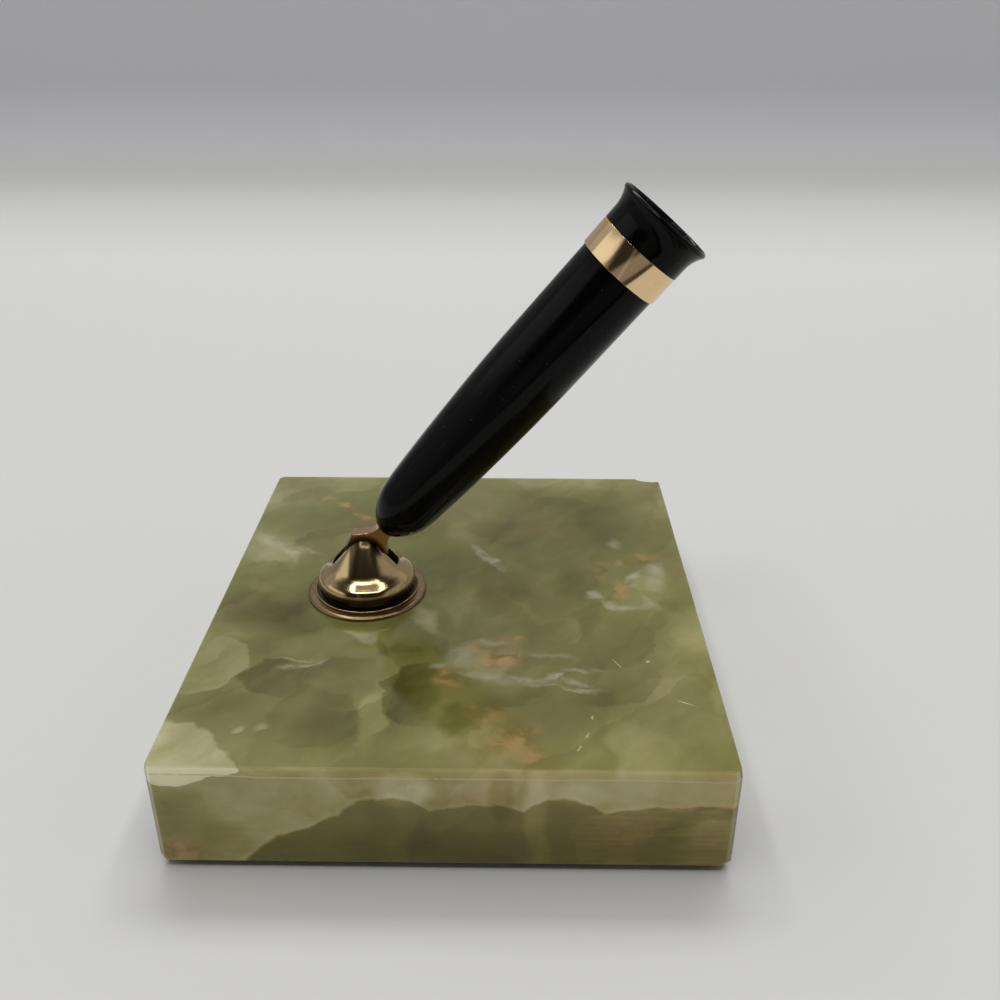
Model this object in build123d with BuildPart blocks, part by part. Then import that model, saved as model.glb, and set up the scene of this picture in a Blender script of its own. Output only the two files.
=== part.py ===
from build123d import *
import os
from math import atan2, cos, hypot, pi, radians, sin, tan

# A desk pen stand: a polished stone slab on a felt pad, a brass mount that swivels on
# the slab, and a black pen socket that tilts in the slot of the mount's bell.
# Millimetres, +Z up, origin under the middle of the felt pad.

# Fits between pieces
running_clearance = 0.06
press_gap = 0.03
side_clearance = 0.15

# Stone slab, with a recess below for the clamping hardware
slab_width = 101.6
slab_depth = 114.3
slab_height = 21.7
slab_top_chamfer_width = 0.4
slab_top_chamfer_drop = 1.6
slab_corner_chamfer = 0.8
slab_foot_radius = 0.9
stud_hole_clearance = 0.4
recess_radius = 9.6
recess_depth = 10.4

# Felt pad glued under the slab
pad_thickness = 1.5
pad_inset = 2.2
pad_corner_radius = 2.0

# Place of the mount on the slab, and the socket's lean towards +X at rest
mount_x = -19.8
mount_y = 0.0
rest_lean = 40.16

# Brass flange on the slab, and the hollow stud that clamps it down
flange_radius = 12.5
flange_thickness = 0.8
flange_edge_radius = 0.3
stud_radius = 4.0
stud_head_radius = 7.0
stud_head_thickness = 0.7
stud_end_length = 0.4

# Clamping hardware in the recess
fibre_washer_radius = 8.8
fibre_washer_thickness = 0.8
clamp_washer_radius = 8.4
clamp_washer_thickness = 1.0
clamp_nut_flats = 13.0
clamp_nut_height = 3.0
nut_chamfer = 0.3

# Swivel: a spindle that turns in the stud, held down by a disc spring and two nuts
friction_washer_thickness = 0.4
friction_washer_bore_clearance = 0.4
spindle_radius = 2.0
spindle_end_length = 0.3
spring_radius = 3.8
spring_thickness = 0.4
spring_height = 0.8
thrust_washer_radius = 3.9
thrust_washer_thickness = 0.5
spindle_nut_flats = 7.0
adjusting_nut_height = 1.5
jam_nut_height = 1.2

# Bell that covers the swivel, heights above the slab's top
bell_radius = 10.6
bell_lift = 0.15
bell_lip_radius = 11.1
bell_lip_height = 0.35
bell_shoulder_height = 4.35
bell_shoulder_radius = 2.6
bell_neck_radius = 7.75
bell_neck_height = 6.35
bell_neck_fillet = 2.0
bell_apex_height = 15.1
bell_crown_radius = 1.9
bell_wall = 0.7
bell_slot_floor_height = 6.3

# Yoke inside the bell, and the hinge pin across it
yoke_column_radius = 5.2
yoke_bell_clearance = 0.25
yoke_ear_height = 1.5
hinge_height = 9.7
hinge_pin_radius = 1.0
hinge_pin_grip = 0.95

# Tongue: a flat plate on the hinge pin, whose threaded tang holds the socket
tongue_thickness = 3.0
tongue_disc_radius = 4.2
tongue_disc_clearance = 0.35
tongue_corner_half_width = 4.95
tongue_corner_height = 1.75
tongue_shoulder_half_width = 3.3
tongue_shoulder_height = 3.6
tongue_neck_half_width = 1.6
tongue_length = 7.0
tang_radius = 1.3
tang_end_length = 0.6
tang_washer_radius = 3.4
tang_washer_thickness = 0.6
tang_nut_flats = 5.5
tang_nut_height = 2.2
tang_pocket_clearance = 0.5

# Socket body, heights above the tongue's end and outer radii
tip_radius = 2.0
nose_height = 4.9
nose_radius = 5.2
hip_height = 10.5
hip_radius = 6.4
taper_height = 33.8
taper_radius = 7.96
barrel_start_height = 51.0
barrel_radius = 8.33
body_length = 71.8
floor_thickness = 9.0
pocket_depth = 4.5
sleeve_seat_height = 33.0
sleeve_seat_width = 1.2

# Sleeve that seals round the pen, the band, and the flared mouth ring
pen_bore_radius = 6.0
sleeve_wall = 0.6
sleeve_length = 31.5
collar_wall = 1.2
mouth_throat_radius = 6.2
band_radius = 8.7
band_length = 6.0
band_edge_radius = 0.25
mouth_straight_length = 2.4
mouth_length = 6.6
mouth_radius = 9.9
mouth_rim_width = 0.9
mouth_rim_crown = 0.35
mouth_flare_depth = 9.0

# Heights of the fixed mount
slab_base = pad_thickness
deck = slab_base + slab_height
flange_top = deck + flange_thickness
head_top = flange_top + stud_head_thickness
swivel_face = head_top + friction_washer_thickness
recess_ceiling = slab_base + recess_depth
fibre_washer_base = recess_ceiling - fibre_washer_thickness
clamp_washer_base = fibre_washer_base - clamp_washer_thickness
clamp_nut_base = clamp_washer_base - clamp_nut_height
stud_end = clamp_nut_base - stud_end_length

# Heights of the swivel, down its spindle and up to its hinge
spring_base = stud_end - spring_height
thrust_washer_base = spring_base - thrust_washer_thickness
adjusting_nut_base = thrust_washer_base - adjusting_nut_height
jam_nut_base = adjusting_nut_base - jam_nut_height
spindle_end = jam_nut_base - spindle_end_length
hinge = deck + hinge_height
yoke_slot_floor = hinge - tongue_disc_radius - tongue_disc_clearance
slot_width = tongue_thickness + 2 * side_clearance
hinge_pin_length = slot_width + 2 * hinge_pin_grip

# Distances along the socket's axis, from the hinge
body_base = tongue_length
body_floor = body_base + floor_thickness
tang_nut_base = body_floor + tang_washer_thickness
tang_end = tang_nut_base + tang_nut_height + tang_end_length
pocket_top = body_floor + pocket_depth
sleeve_base = body_base + sleeve_seat_height
sleeve_top = sleeve_base + sleeve_length
body_top = body_base + body_length
band_top = body_top + band_length
mouth = band_top + mouth_length

# Radii that come from the fits
stud_bore_radius = spindle_radius + running_clearance
stud_fit_radius = stud_radius + press_gap
spindle_fit_radius = spindle_radius + press_gap
tang_fit_radius = tang_radius + press_gap
tang_pocket_radius = tang_washer_radius + tang_pocket_clearance
sleeve_radius = pen_bore_radius + sleeve_wall
sleeve_fit_radius = sleeve_radius + press_gap
collar_radius = mouth_throat_radius + collar_wall
collar_fit_radius = collar_radius + press_gap
yoke_base_radius = bell_radius - bell_wall - press_gap

# Planes: each turned piece is drawn in a side plane, with the radius along its x
lean = radians(rest_lean)
mount_point = (mount_x, mount_y, 0)
mount_axis = Axis(mount_point, (0, 0, 1))
mount_side = Plane(origin=mount_point, x_dir=(1, 0, 0), z_dir=(0, -1, 0))
hinge_point = Vector(mount_x, mount_y, hinge)
socket_direction = Vector(sin(lean), 0, cos(lean))
socket_axis = Axis(hinge_point, socket_direction)
socket_side = Plane(origin=hinge_point, x_dir=(cos(lean), 0, -sin(lean)), z_dir=(0, -1, 0))


def level(height):
    return Plane(origin=(mount_x, mount_y, height))


def socket_level(distance):
    return Plane(origin=hinge_point + socket_direction * distance, z_dir=socket_direction)


def ring(plane, inner_radius, outer_radius, height):
    with BuildPart() as turned:
        with BuildSketch(plane):
            Circle(outer_radius)
            Circle(inner_radius, mode=Mode.SUBTRACT)
        extrude(amount=height)
    return turned.part


def hex_nut(plane, across_flats, height, hole_radius):
    with BuildPart() as nut:
        with BuildSketch(plane):
            RegularPolygon(across_flats / 2, 6, major_radius=False)
        extrude(amount=height)
        chamfer(nut.edges(), nut_chamfer)
        with BuildSketch(plane):
            Circle(hole_radius)
        extrude(amount=height, mode=Mode.SUBTRACT)
    return nut.part


# Felt pad
with BuildPart() as felt_pad:
    with BuildSketch():
        RectangleRounded(slab_width - 2 * pad_inset, slab_depth - 2 * pad_inset, pad_corner_radius)
    extrude(amount=pad_thickness)

# Stone slab: softened edges, a recess below and a hole up through it for the stud
with BuildPart() as stone_slab:
    with BuildSketch(Plane.XY.offset(slab_base)):
        Rectangle(slab_width, slab_depth)
    extrude(amount=slab_height)
    chamfer(stone_slab.edges().filter_by(Axis.Z), slab_corner_chamfer)
    top = stone_slab.faces().sort_by(Axis.Z)[-1]
    chamfer(top.edges(), slab_top_chamfer_width, slab_top_chamfer_drop, reference=top)
    fillet(stone_slab.faces().sort_by(Axis.Z)[0].edges(), slab_foot_radius)
    with BuildSketch(level(slab_base)):
        Circle(recess_radius)
    extrude(amount=recess_depth, mode=Mode.SUBTRACT)
    with BuildSketch(level(slab_base)):
        Circle(stud_radius + stud_hole_clearance)
    extrude(amount=slab_height, mode=Mode.SUBTRACT)

# Flange plate: a disc with a rounded rim, bored for the stud
with BuildPart() as flange_plate:
    with BuildSketch(level(deck)):
        Circle(flange_radius)
    extrude(amount=flange_thickness)
    fillet(flange_plate.edges().sort_by(Axis.Z)[-1], flange_edge_radius)
    with BuildSketch(level(deck)):
        Circle(stud_fit_radius)
    extrude(amount=flange_thickness, mode=Mode.SUBTRACT)

# Hollow stud: its head holds the flange down, its bore carries the spindle
with BuildPart() as mount_stud:
    with BuildSketch(level(flange_top)):
        Circle(stud_head_radius)
    extrude(amount=stud_head_thickness)
    with BuildSketch(level(stud_end)):
        Circle(stud_radius)
    extrude(amount=flange_top - stud_end)
    with BuildSketch(level(stud_end)):
        Circle(stud_bore_radius)
    extrude(amount=head_top - stud_end, mode=Mode.SUBTRACT)

# Washers and nut that clamp the stud from below
fibre_washer = ring(level(fibre_washer_base), stud_fit_radius, fibre_washer_radius, fibre_washer_thickness)
clamp_washer = ring(level(clamp_washer_base), stud_fit_radius, clamp_washer_radius, clamp_washer_thickness)
clamp_nut = hex_nut(level(clamp_nut_base), clamp_nut_flats, clamp_nut_height, stud_fit_radius)

# Washer that the swivel turns on
friction_washer_bore = spindle_radius + friction_washer_bore_clearance
friction_washer = ring(level(head_top), friction_washer_bore, stud_head_radius, friction_washer_thickness)

# Spindle under the yoke, with its disc spring, thrust washer and pair of nuts
with BuildPart() as swivel_spindle:
    with BuildSketch(level(spindle_end)):
        Circle(spindle_radius)
    extrude(amount=yoke_slot_floor - spindle_end)

with BuildPart() as spring_washer:
    with BuildSketch(mount_side):
        with BuildLine():
            Polyline(
                (stud_bore_radius, spring_base),
                (stud_bore_radius, spring_base + spring_thickness),
                (spring_radius, spring_base + spring_height),
                (spring_radius, spring_base + spring_height - spring_thickness),
                close=True,
            )
        make_face()
    revolve(axis=mount_axis)

thrust_washer = ring(
    level(thrust_washer_base), stud_bore_radius, thrust_washer_radius, thrust_washer_thickness
)
adjusting_nut = hex_nut(
    level(adjusting_nut_base), spindle_nut_flats, adjusting_nut_height, spindle_fit_radius
)
jam_nut = hex_nut(level(jam_nut_base), spindle_nut_flats, jam_nut_height, spindle_fit_radius)

# Bell: a turned outline of crown, flank, neck, shoulder and wall, hollowed from below, with a lip at its foot
flank_spread = bell_neck_radius / (bell_apex_height - bell_neck_height)
flank_stretch = hypot(1, flank_spread)
crown_centre = bell_apex_height - bell_crown_radius * flank_stretch / flank_spread
crown_edge_radius = bell_crown_radius / flank_stretch
crown_edge_height = crown_centre + bell_crown_radius * flank_spread / flank_stretch
bell_foot = flange_top + bell_lift
crown_top = (0, deck + crown_centre + bell_crown_radius)
crown_edge = (crown_edge_radius, deck + crown_edge_height)

with BuildPart() as bell_cover:
    with BuildSketch(mount_side):
        with BuildLine():
            TangentArc(crown_top, crown_edge, tangent=(1, 0))
            FilletPolyline(
                crown_edge,
                (bell_neck_radius, deck + bell_neck_height),
                (bell_radius, deck + bell_shoulder_height),
                (bell_radius, bell_foot),
                radius=[bell_neck_fillet, bell_shoulder_radius],
            )
            Polyline((bell_radius, bell_foot), (0, bell_foot), crown_top)
        make_face()
    revolve(axis=mount_axis)
    offset(amount=-bell_wall, openings=bell_cover.faces().sort_by(Axis.Z)[0])
    with BuildSketch(level(bell_foot)):
        Circle(bell_lip_radius)
        Circle(bell_radius - bell_wall, mode=Mode.SUBTRACT)
    extrude(amount=bell_lip_height)
    with BuildSketch(level(deck + bell_slot_floor_height)):
        Rectangle(2 * bell_radius, slot_width)
    extrude(amount=bell_apex_height, mode=Mode.SUBTRACT)

# Yoke: a base pressed into the bell's straight wall, and a column whose ears follow its flank
roof_slope = atan2(bell_neck_height - bell_shoulder_height, bell_radius - bell_neck_radius)
bell_wall_top = deck + bell_shoulder_height - bell_shoulder_radius * tan((pi / 2 - roof_slope) / 2)
flank_inset = (bell_wall + yoke_bell_clearance) * flank_stretch
ear_top_height = hinge_height + yoke_ear_height
ear_top_radius = (bell_apex_height - ear_top_height) * flank_spread - flank_inset
column_top_height = bell_apex_height - (yoke_column_radius + flank_inset) / flank_spread

with BuildPart() as yoke:
    with BuildSketch(mount_side):
        with BuildLine():
            Polyline(
                (0, swivel_face),
                (yoke_base_radius, swivel_face),
                (yoke_base_radius, bell_wall_top),
                (yoke_column_radius, bell_wall_top),
                (yoke_column_radius, deck + column_top_height),
                (ear_top_radius, deck + ear_top_height),
                (0, deck + ear_top_height),
                close=True,
            )
        make_face()
    revolve(axis=mount_axis)
    with BuildSketch(level(yoke_slot_floor)):
        Rectangle(2 * yoke_base_radius, slot_width)
    extrude(amount=bell_apex_height, mode=Mode.SUBTRACT)
    with BuildSketch(level(swivel_face)):
        Circle(spindle_fit_radius)
    extrude(amount=yoke_slot_floor - swivel_face, mode=Mode.SUBTRACT)
    with BuildSketch(Plane(origin=hinge_point, z_dir=(0, 1, 0))):
        Circle(hinge_pin_radius + press_gap)
    extrude(amount=yoke_column_radius, both=True, mode=Mode.SUBTRACT)

# Hinge pin through the yoke's ears and the tongue
with BuildPart() as hinge_pin:
    with BuildSketch(Plane(origin=hinge_point, z_dir=(0, 1, 0))):
        Circle(hinge_pin_radius)
    extrude(amount=hinge_pin_length / 2, both=True)

# Tongue: a disc that widens to two corners, drawn in to a neck that ends in the tang
tongue_side = (tongue_disc_radius, 0)
tongue_corner = (tongue_corner_half_width, tongue_corner_height)
tongue_shoulder = (tongue_shoulder_half_width, tongue_shoulder_height)
tongue_neck = (tongue_neck_half_width, tongue_length)

with BuildPart() as tongue:
    with BuildSketch(socket_side):
        with BuildLine():
            TangentArc((0, -tongue_disc_radius), tongue_side, tangent=(1, 0))
            Polyline(tongue_side, tongue_corner, tongue_shoulder)
            TangentArc(tongue_neck, tongue_shoulder, tangent=(0, -1))
            Line(tongue_neck, (0, tongue_length))
            mirror(about=Plane.YZ)
        make_face()
        Circle(hinge_pin_radius + running_clearance, mode=Mode.SUBTRACT)
    extrude(amount=tongue_thickness / 2, both=True)
    with BuildSketch(socket_level(tongue_length)):
        Circle(tang_radius)
    extrude(amount=tang_end - tongue_length)

# Washer and nut on the tang, on the floor of the socket
tang_washer = ring(socket_level(body_floor), tang_fit_radius, tang_washer_radius, tang_washer_thickness)
tang_nut = hex_nut(socket_level(tang_nut_base), tang_nut_flats, tang_nut_height, tang_fit_radius)

# Socket body: a rounded nose, a long taper and a straight barrel, bored for its fittings
sleeve_seat_radius = sleeve_fit_radius - sleeve_seat_width

with BuildPart() as socket_body:
    with BuildSketch(socket_side):
        with BuildLine():
            Spline(
                (tip_radius, body_base),
                (nose_radius, body_base + nose_height),
                (hip_radius, body_base + hip_height),
                (taper_radius, body_base + taper_height),
                (barrel_radius, body_base + barrel_start_height),
                tangents=[(nose_height, nose_radius - tip_radius), (0, 1)],
            )
            Polyline(
                (barrel_radius, body_base + barrel_start_height),
                (barrel_radius, body_top),
                (collar_fit_radius, body_top),
                (collar_fit_radius, sleeve_top),
                (sleeve_fit_radius, sleeve_top),
                (sleeve_fit_radius, sleeve_base),
                (sleeve_seat_radius, sleeve_base),
                (tang_pocket_radius, pocket_top),
                (tang_pocket_radius, body_floor),
                (tang_fit_radius, body_floor),
                (tang_fit_radius, body_base),
                (tip_radius, body_base),
            )
        make_face()
    revolve(axis=socket_axis)

# Sleeve in the socket, held down by the collar of the mouth ring
inner_sleeve = ring(socket_level(sleeve_base), pen_bore_radius, sleeve_radius, sleeve_length)

# Gold band between the socket body and the mouth ring
with BuildPart() as gold_band:
    with BuildSketch(socket_level(body_top)):
        Circle(band_radius)
        Circle(collar_fit_radius, mode=Mode.SUBTRACT)
    extrude(amount=band_length)
    rims = gold_band.edges().filter_by(GeomType.CIRCLE).group_by(SortBy.RADIUS)[-1]
    fillet(rims, band_edge_radius)

# Mouth ring: a collar inside the body and the band, and a flared lip
rim_inner_radius = mouth_radius - mouth_rim_width
rim_middle_radius = mouth_radius - mouth_rim_width / 2
flare_base = band_top + mouth_straight_length

with BuildPart() as mouth_ring:
    with BuildSketch(socket_side):
        with BuildLine():
            Polyline(
                (mouth_throat_radius, mouth - mouth_flare_depth),
                (mouth_throat_radius, sleeve_top),
                (collar_radius, sleeve_top),
                (collar_radius, band_top),
                (band_radius, band_top),
                (band_radius, flare_base),
            )
            TangentArc((band_radius, flare_base), (mouth_radius, mouth), tangent=(0, 1))
            ThreePointArc(
                (mouth_radius, mouth),
                (rim_middle_radius, mouth + mouth_rim_crown),
                (rim_inner_radius, mouth),
            )
            TangentArc(
                (mouth_throat_radius, mouth - mouth_flare_depth),
                (rim_inner_radius, mouth),
                tangent=(0, 1),
            )
        make_face()
    revolve(axis=socket_axis)

pieces = {
    "stone_slab": stone_slab.part,
    "felt_pad": felt_pad.part,
    "flange_plate": flange_plate.part,
    "mount_stud": mount_stud.part,
    "fibre_washer": fibre_washer,
    "clamp_washer": clamp_washer,
    "clamp_nut": clamp_nut,
    "friction_washer": friction_washer,
    "swivel_spindle": swivel_spindle.part,
    "spring_washer": spring_washer.part,
    "thrust_washer": thrust_washer,
    "adjusting_nut": adjusting_nut,
    "jam_nut": jam_nut,
    "bell_cover": bell_cover.part,
    "yoke": yoke.part,
    "hinge_pin": hinge_pin.part,
    "tongue": tongue.part,
    "tang_washer": tang_washer,
    "tang_nut": tang_nut,
    "socket_body": socket_body.part,
    "inner_sleeve": inner_sleeve,
    "gold_band": gold_band.part,
    "mouth_ring": mouth_ring.part,
}

os.makedirs("parts", exist_ok=True)
for name, part in pieces.items():
    part.label = name
    export_step(part, f"parts/{name}.step")
    print(f"{name}: {part.volume:.2f} mm3")
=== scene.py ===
import math
import bmesh
import bpy
from mathutils import Euler, Matrix, Vector, noise
from mathutils.geometry import interpolate_bezier


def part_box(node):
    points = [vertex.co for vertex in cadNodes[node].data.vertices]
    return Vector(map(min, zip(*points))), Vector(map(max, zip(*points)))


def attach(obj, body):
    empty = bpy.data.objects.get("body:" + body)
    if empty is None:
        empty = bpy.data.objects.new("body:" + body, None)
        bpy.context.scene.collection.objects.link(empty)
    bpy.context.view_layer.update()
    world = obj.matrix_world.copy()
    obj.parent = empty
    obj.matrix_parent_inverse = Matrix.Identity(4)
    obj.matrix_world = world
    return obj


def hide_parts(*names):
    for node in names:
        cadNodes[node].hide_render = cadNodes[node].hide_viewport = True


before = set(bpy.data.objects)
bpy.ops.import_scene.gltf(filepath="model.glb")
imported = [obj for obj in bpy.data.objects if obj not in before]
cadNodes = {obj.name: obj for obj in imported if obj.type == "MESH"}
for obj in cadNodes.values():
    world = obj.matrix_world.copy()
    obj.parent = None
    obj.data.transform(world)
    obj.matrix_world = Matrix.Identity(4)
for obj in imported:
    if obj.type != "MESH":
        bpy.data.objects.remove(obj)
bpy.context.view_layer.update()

mm = 0.001
weld = 0.001 * mm  # points nearer than this become one
touch = 0.01 * mm  # a point nearer than this lies on a plane


def middle(node):
    low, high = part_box(node)
    return (low + high) / 2


# places and directions that the pieces share, all read from the frame
slabLow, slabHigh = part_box("stone_slab")
deck = slabHigh.z
mountPoint = Vector((middle("flange_plate").x, middle("flange_plate").y, deck))
hingePoint = middle("hinge_pin")
upright = Vector((0, 0, 1))
crosswise = Vector((0, 1, 0))  # along the hinge pin, square to both axes
socketAxis = (middle("gold_band") - hingePoint).normalized()
lean = math.atan2(socketAxis.x, socketAxis.z)
print("frame: %d nodes, socket leans %.2f degrees" % (len(cadNodes), math.degrees(lean)))


def tint(red, green, blue):
    # a colour as it is read off a screen, turned into the linear one that shaders take
    return (*[((c / 255 + 0.055) / 1.055) ** 2.4 if c > 10 else c / 3294.6 for c in (red, green, blue)], 1)


class Value:
    # a node's output, with its maths written as expressions
    def __init__(self, web, socket):
        self.web = web
        self.socket = socket

    def calc(self, operation, *others):
        return self.web.node("ShaderNodeMath", {"operation": operation}, dict(enumerate((self, *others))))

    def __add__(self, other):
        return self.calc("ADD", other)

    def __radd__(self, other):
        return self.calc("ADD", other)

    def __sub__(self, other):
        return self.calc("SUBTRACT", other)

    def __rsub__(self, other):
        return self.web.node("ShaderNodeMath", {"operation": "SUBTRACT"}, {0: other, 1: self})

    def __mul__(self, other):
        return self.calc("MULTIPLY", other)

    def __rmul__(self, other):
        return self.calc("MULTIPLY", other)

    def __abs__(self):
        return self.calc("ABSOLUTE")


class Web:
    # the nodes of one material or of the world
    def __init__(self, owner):
        owner.use_nodes = True
        self.owner = owner
        self.tree = owner.node_tree

    def feed(self, socket, value):
        if isinstance(value, Value):
            self.tree.links.new(value.socket, socket)
        else:
            socket.default_value = value

    def node(self, kind, settings=None, sockets=None, output=0):
        made = self.tree.nodes.new(kind)
        for key, value in (settings or {}).items():
            if key == "stops":
                self.setStops(made.color_ramp, value)
            else:
                setattr(made, key, value)
        for key, value in (sockets or {}).items():
            self.feed(made.inputs[key], value)
        return Value(self, made.outputs[output])

    def setStops(self, ramp, stops):
        while len(ramp.elements) < len(stops):
            ramp.elements.new(1.0)
        for element, (position, colour) in zip(ramp.elements, stops):
            element.position = position
            element.color = colour

    def surface(self, **sockets):
        shader = self.tree.nodes["Principled BSDF"]
        for key, value in sockets.items():
            self.feed(shader.inputs[key.replace("_", " ")], value)
        return self.owner

    def spot(self, at=(0, 0, 0), turn=(0, 0, 0)):
        # where a point of the piece is, in millimetres, from a place and turned with it
        point = self.node("ShaderNodeTexCoord", {}, {}, "Object")
        return self.local(point, at, turn, (mm, mm, mm))

    def local(self, vector, at=(0, 0, 0), turn=(0, 0, 0), size=(1, 1, 1)):
        sockets = {"Vector": vector, "Location": at, "Rotation": turn, "Scale": size}
        return self.node("ShaderNodeMapping", {"vector_type": "TEXTURE"}, sockets)

    def part(self, vector, axis):
        # one of a vector's three numbers
        return self.node("ShaderNodeSeparateXYZ", {}, {0: vector}, axis)

    def reach(self, vector, ways=(1, 1, 0)):
        # how far a point is from the z axis, or from the one that ways leaves out
        return self.vec("LENGTH", self.vec("MULTIPLY", vector, ways), output="Value")

    def fall(self, kind, vector, at, turn, size):
        # how deep a point lies in a ball, or how far along the x axis, of a place turned and sized
        return self.node("ShaderNodeTexGradient", {"gradient_type": kind},
                         {0: self.local(vector, at, turn, size)}, 1)

    def ball(self, vector, at, size, outer, inner, turn=(0, 0, 0)):
        # one inside the inner share of a ball, none outside the outer
        depth = self.fall("SPHERICAL", vector, at, turn, [s * outer for s in size])
        return self.ease(depth, 0.0, 1 - inner / outer)

    def vec(self, operation, first, second=None, output=0, **others):
        sockets = {0: first, **others}
        if second is not None:
            sockets[1] = second
        return self.node("ShaderNodeVectorMath", {"operation": operation}, sockets, output)

    def clouds(self, vector, scale, detail=2.0, rough=0.5, output=0):
        sockets = {"Vector": vector, "Scale": scale, "Detail": detail, "Roughness": rough}
        return self.node("ShaderNodeTexNoise", {}, sockets, output)

    def specks(self, vector, scale):
        # distance to the nearest of many scattered points
        return self.node("ShaderNodeTexVoronoi", {}, {"Vector": vector, "Scale": scale})

    def ease(self, value, low, high, start=0.0, end=1.0):
        sockets = {"Value": value, "From Min": low, "From Max": high, "To Min": start, "To Max": end}
        return self.node("ShaderNodeMapRange", {"interpolation_type": "SMOOTHSTEP"}, sockets)

    def shades(self, value, stops):
        return self.node("ShaderNodeValToRGB", {"stops": stops}, {0: value})

    def blend(self, share, first, second):
        return self.node("ShaderNodeMix", {"data_type": "RGBA"}, {0: share, 6: first, 7: second}, 2)

    def warp(self, vector, scale, reach, detail=2.0):
        # pushes points about by up to half of reach
        push = self.vec("SUBTRACT", self.clouds(vector, scale, detail, output=1), (0.5, 0.5, 0.5))
        return self.vec("ADD", self.vec("SCALE", push, Scale=reach), vector)

    def bump(self, height, depth):
        return self.node("ShaderNodeBump", {}, {"Height": height, "Distance": depth, "Strength": 1.0})


def newWeb(name):
    return Web(bpy.data.materials.new(name))


# Camera, at the photograph's place: millimetres and degrees, and metres for what it clips
photoCamera = {"place": (11.03, -188.54, 140.39), "lens": 36.526, "sensor": 36.0,
               "pitch": 26.765, "yaw": -0.625, "roll": 0.146, "clip": (0.005, 20)}


def makeCamera():
    data = bpy.data.cameras.new("photoCamera")
    data.lens = photoCamera["lens"]
    data.sensor_width = photoCamera["sensor"]
    data.clip_start, data.clip_end = photoCamera["clip"]
    camera = bpy.data.objects.new("photoCamera", data)
    bpy.context.scene.collection.objects.link(camera)
    pitch, yaw, roll = [math.radians(photoCamera[key]) for key in ("pitch", "yaw", "roll")]
    turn = Matrix.Rotation(-yaw, 4, "Z") @ Matrix.Rotation(math.pi / 2 - pitch, 4, "X")
    place = Matrix.Translation(Vector(photoCamera["place"]) * mm)
    camera.matrix_world = place @ turn @ Matrix.Rotation(roll, 4, "Z")
    bpy.context.scene.camera = camera


makeCamera()
print("camera placed")

# Stage: a pale floor that sweeps up behind, in metres, and millimetres for where its colour turns to the
# wall's paler one, which is painted light
sweep = {"width": 6.0, "front": -0.2, "bendStart": 0.645, "bendRadius": 0.08, "bendAngle": 84, "rise": 0.6,
         "bendSteps": 32, "floor": (206, 206, 204), "wall": (215, 216, 220), "colourTurn": (0.0, 30.0)}


def makeSweep():
    bm = bmesh.new()
    half = sweep["width"] / 2
    ends = [bm.verts.new((x, sweep["front"], 0)) for x in (-half, half)]
    edge = [bm.edges.new(ends)]
    bend = math.radians(sweep["bendAngle"])
    wall = Vector((0, math.cos(bend), math.sin(bend))) * sweep["rise"]
    run = [(0, sweep["bendStart"] - sweep["front"], 0), None, wall]
    for step in run:
        if step:
            grown = bmesh.ops.extrude_edge_only(bm, edges=edge)["geom"]
            edge = [g for g in grown if isinstance(g, bmesh.types.BMEdge) and len(g.link_faces) == 1]
            edge = [e for e in edge if all(v in grown for v in e.verts)]
            bmesh.ops.translate(bm, verts=edge[0].verts[:], vec=step)
        else:
            turned = bmesh.ops.spin(bm, geom=edge, cent=(0, sweep["bendStart"], sweep["bendRadius"]),
                                    axis=(1, 0, 0), angle=bend, steps=sweep["bendSteps"])
            edge = [g for g in turned["geom_last"] if isinstance(g, bmesh.types.BMEdge)]
    bmesh.ops.recalc_face_normals(bm, faces=bm.faces)
    mesh = bpy.data.meshes.new("sweep")
    bm.to_mesh(mesh)
    bm.free()
    for face in mesh.polygons:
        face.use_smooth = True
    web = newWeb("paleSweep")
    height = web.part(web.spot(), 2)
    # painted light: the upright wall is a paler colour than the floor, to brighten it where less light
    # reaches
    colour = web.blend(web.ease(height, *sweep["colourTurn"]), tint(*sweep["floor"]), tint(*sweep["wall"]))
    mesh.materials.append(web.surface(Base_Color=colour, Roughness=0.8, Specular_IOR_Level=0.1))
    floor = bpy.data.objects.new("sweep", mesh)
    bpy.context.scene.collection.objects.link(floor)


# Light: a frame of four soft strips high above, and a room that is pale at its sides and dim in front
strips = {"height": 2.4, "glow": 7.0,  # metres, and watts from a square metre to each direction
          "front": (-1.06, 1.06, -1.18, -0.82), "back": (-0.9, 0.9, 0.95, 1.8),
          "left": (-1.06, -0.82, -0.82, 1.4), "right": (0.82, 1.06, -0.82, 1.4)}
room = {"front": 0.03, "back": 0.48, "sides": 0.42, "frontHorizon": 0.22, "over": 0.2, "under": 0.2,
        "slit": 0.10, "window": 0.5, "ceiling": 0.40}
roomEdges = {  # from where to where each part of the room fades in, along x, y or z of a direction
    "frontToBack": (-0.55, 0.25), "horizonZ": (0.16, 0.04), "horizonY": (0.1, -0.4), "sides": (0.58, 0.80),
    "over": (0.80, 0.62), "under": (-0.33, -0.26), "ceiling": (0.88, 0.96),
    "windowX": (-0.60, -0.70), "windowY": (0.46, 0.36), "windowZ": (0.17, 0.09), "windowShift": 0.2,
    "windowHeight": 0.48, "slitX": (0.06, 0.03), "slitY": (-0.2, -0.4), "slitShift": 0.22,
}
roomGlow = [(0.0, (1.0, 0.80, 0.62, 1)), (0.35, (1, 1, 1, 1))]  # dim light is warm


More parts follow.
